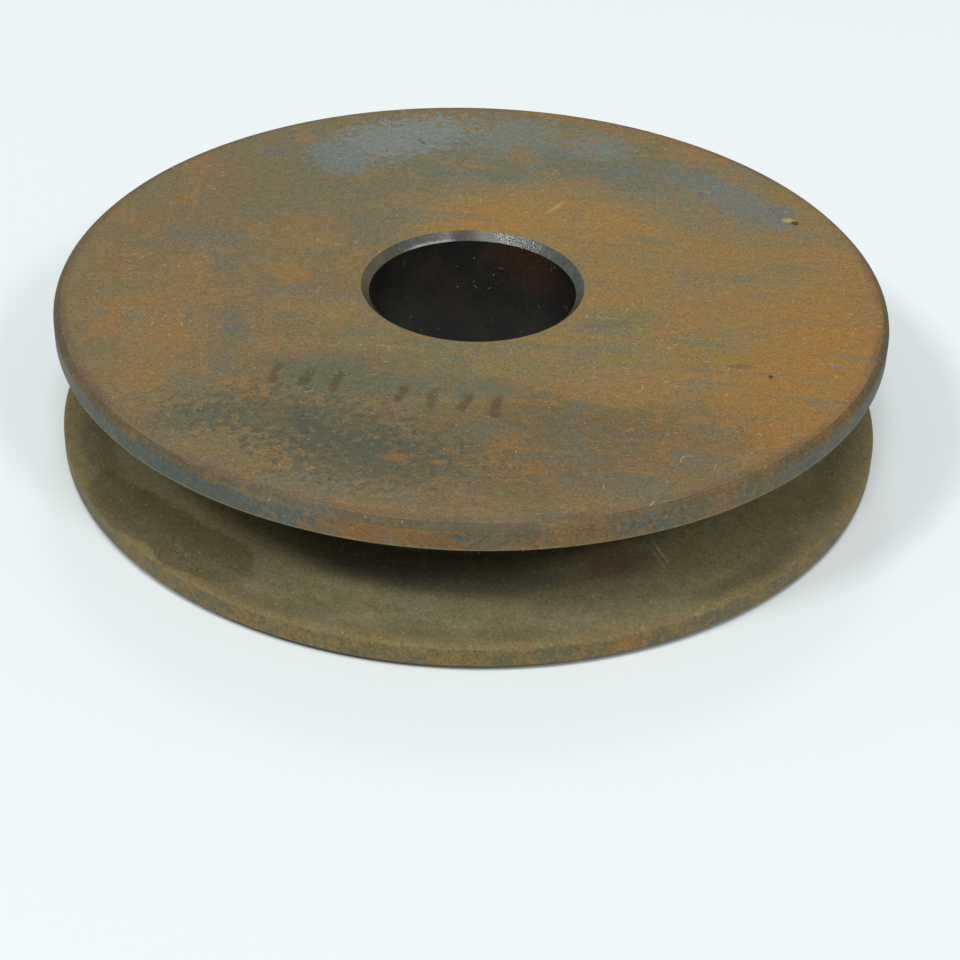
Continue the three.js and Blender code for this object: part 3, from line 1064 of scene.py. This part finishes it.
def marked(x, y):
    """Depth and dirt of the marks at each place. In a mark's own frame its line is across = bend (1 -
    (along/half length)^2); the depth is MARK_DEPTH (1 - gap^2/half width^2) times a slow wave along
    it, and the dirt is exp(-(gap/DIRT_REACH)^2)."""
    depth, dirt = np.zeros_like(x), np.zeros_like(x)
    row = (MARK_END - MARK_START) / np.linalg.norm(MARK_END - MARK_START)
    for number, (share, lean, half_length, half_width, bend) in enumerate(MARKS):
        centre = MARK_START + share * (MARK_END - MARK_START)
        turn = math.radians(90 + lean)
        cos, sin = math.cos(turn), math.sin(turn)
        direction = np.array([row[0] * cos - row[1] * sin, row[0] * sin + row[1] * cos])
        dx, dy = x - centre[0], y - centre[1]
        along = dx * direction[0] + dy * direction[1]
        across = dy * direction[0] - dx * direction[1]
        reach = np.clip(along, -half_length * MM, half_length * MM)
        line = bend * MM * (1 - (reach / (half_length * MM)) ** 2)
        gap2 = (along - reach) ** 2 + (across - line) ** 2
        wave = 0.8 + 0.2 * np.sin(along / MM * 2.3 + number)
        depth = np.maximum(depth, MARK_DEPTH * wave * np.clip(1 - gap2 / (half_width * MM) ** 2, 0, 1))
        dirt = np.maximum(dirt, np.exp(-gap2 / DIRT_REACH**2))
    return depth, dirt


# %% The sheave's mesh
MARK_ARC = (-139, -77)  # degrees that the marks lie between, with close steps
MARK_TURN = 0.36
TURN = 1.25
TOP_SKIN = 0.001 * MM
FACE_DROP = 0.32 * MM  # height of the rounded edge that still takes the face's finish
JOINT_DEPTH = 0.2 * MM  # the seat's wall, hidden behind the bush, takes it too
LAND_DROP = 0.06 * MM  # the land goes on until its rounding has dropped so far


def centres_of(points, faces):
    """Radius and height of the middle of each face."""
    centres = points[faces].mean(axis=1)
    return np.hypot(centres[:, 0], centres[:, 1]), centres[:, 2]


angles_there = np.arange(MARK_ARC[0], MARK_ARC[1], MARK_TURN)
angles_elsewhere = np.arange(MARK_ARC[1], MARK_ARC[0] + 360, TURN)[:-1]
angles = np.radians(np.concatenate([angles_there, angles_elsewhere]))
points, faces = turned_surface(sheave_profile, angles)
on_top = points[:, 2] > WIDTH - TOP_SKIN
depth, dirt = marked(points[:, 0], points[:, 1])
points[:, 2] -= np.where(on_top, depth, 0)
print(f"marks: {len(MARKS)} strokes, deepest {np.where(on_top, depth, 0).max() / MM:.2f} mm")

FACE_ZONE, CHAMFER_ZONE, LAND_ZONE, GROOVE_ZONE = 0, 1, 2, 3
centre_radius, centre_height = centres_of(points, faces)
from_middle = abs(centre_height - middle)
beyond_lands = from_middle > middle - RIM_CHAMFER
on_face = (from_middle > middle - FACE_DROP) & (centre_radius < RIM - RIM_CHAMFER)
zones = np.full(len(faces), GROOVE_ZONE)
zones[on_face | (centre_radius < SEAT + JOINT_DEPTH)] = FACE_ZONE
zones[beyond_lands & (centre_radius > SEAT + MM) & ~on_face] = CHAMFER_ZONE
zones[~beyond_lands & (centre_radius > RIM - LAND_DROP)] = LAND_ZONE
finishes = [rusted_face, rusted_chamfer, rusted_land, dusty_groove]
sheave = mesh_piece("turned_sheave", points, faces, zones, finishes)
stamped = sheave.data.attributes.new("stamped", "FLOAT", "POINT")
stamped.data.foreach_set("value", np.where(on_top, dirt, 0).astype(np.float32))
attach(sheave, "root")
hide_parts("v_groove_sheave")

# %% [markdown]
# ## The bush
#
# A plain sleeve, pressed in flush, with a chamfer at each mouth of the bore. Its joint with the
# sheave is closed with dirt and can't be seen, so the flat end beside the chamfer takes the rusty
# finish of the face around it.

# %% The bush
BORE = 12.7 * MM
MOUTH = 1.0 * MM
BUSH_SKIN = SEAT - 0.003 * MM
SET_BACK = 0.01 * MM
RING_EDGE = 0.18 * MM
ZONE_SKIN = 0.02 * MM
bush_corners = [
    (BORE, SET_BACK + MOUTH, RING_EDGE, 0.25 * MM),
    (BORE + MOUTH, SET_BACK, RING_EDGE, 0.2 * MM),
    (BUSH_SKIN, SET_BACK, JOINT_EDGE, 2.0 * MM),
    (BUSH_SKIN, WIDTH - SET_BACK, JOINT_EDGE, 0.2 * MM),
    (BORE + MOUTH, WIDTH - SET_BACK, RING_EDGE, 0.25 * MM),
    (BORE, WIDTH - SET_BACK - MOUTH, RING_EDGE, 1.0 * MM),
]
bush_angles = np.radians(np.arange(0, 360, TURN))
bush_points, bush_faces = turned_surface(outline(bush_corners), bush_angles)
bush_radius, _ = centres_of(bush_points, bush_faces)
BORE_ZONE, RING_ZONE, END_ZONE = 0, 1, 2
bush_zones = np.full(len(bush_faces), BORE_ZONE)
bush_zones[bush_radius > BORE + ZONE_SKIN] = RING_ZONE
bush_zones[bush_radius > BORE + MOUTH + ZONE_SKIN] = END_ZONE
bush_finishes = [oily_bore, bare_ring, rusted_face]
bush = mesh_piece("turned_bush", bush_points, bush_faces, bush_zones, bush_finishes)
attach(bush, "root")
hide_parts("bore_bush")

# %% [markdown]
# ## Floor
#
# The pulley lies on a plain, pale, matt table. It is only the stage, not a part of the object.


# %% Floor
def table_finish():
    """One plain, pale, matt colour."""
    made, tree, shader, _ = material("pale_table")
    coated(tree, shader, linear(235, 243, 245), 0.9, 0.1)
    return made


FLOOR_HALF = 3.0
floor_mesh = bpy.data.meshes.new("table")
floor_corners = [(x * FLOOR_HALF, y * FLOOR_HALF, 0) for x, y in ((-1, -1), (1, -1), (1, 1), (-1, 1))]
floor_mesh.from_pydata(floor_corners, [], [(0, 1, 2, 3)])
floor_mesh.materials.append(table_finish())
floor = linked("table", floor_mesh)
print(f"table {2 * FLOOR_HALF:.0f} m square")
